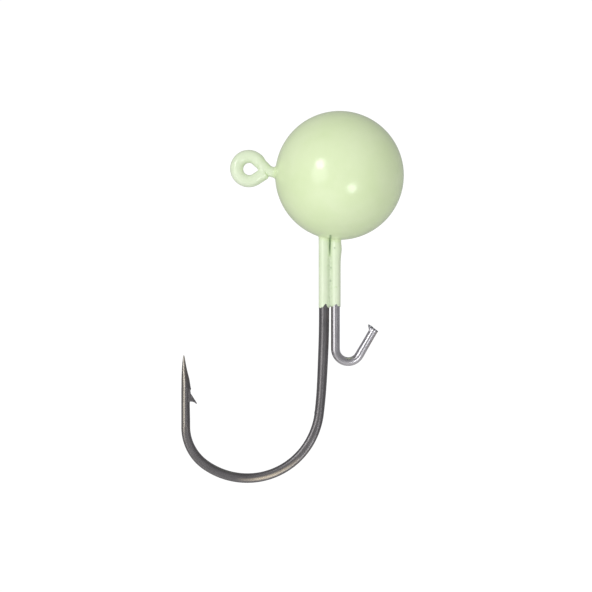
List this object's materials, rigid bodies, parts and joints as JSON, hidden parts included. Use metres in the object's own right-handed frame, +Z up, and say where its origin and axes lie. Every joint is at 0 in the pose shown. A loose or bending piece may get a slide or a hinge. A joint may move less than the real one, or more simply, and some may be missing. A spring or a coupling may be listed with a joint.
{
  "type": "jig head",
  "caption": "Round painted lead jig head cast on a hook with a side line eye and a wire bait keeper, to carry a soft bait.",
  "frame": {"origin": "centre of the line eye, in the plane that both wires are bent in", "axes": "+Z up from the hook's bend towards the ball, along the shank; +X from the line eye towards the ball; +Y completes a right-handed frame and runs along the line eye's hole"},
  "size_m": [0.0233, 0.0136, 0.039],
  "materials": {
    "hook_steel": "polished",
    "keeper_steel": "polished",
    "lead": "satin",
    "glow_paint": "gloss"
  },
  "bodies": {
    "root": {"hook": "hook_steel", "bait_keeper": "keeper_steel", "lead_ball": "lead", "paint_coat": "glow_paint"}
  },
  "joints": []
}
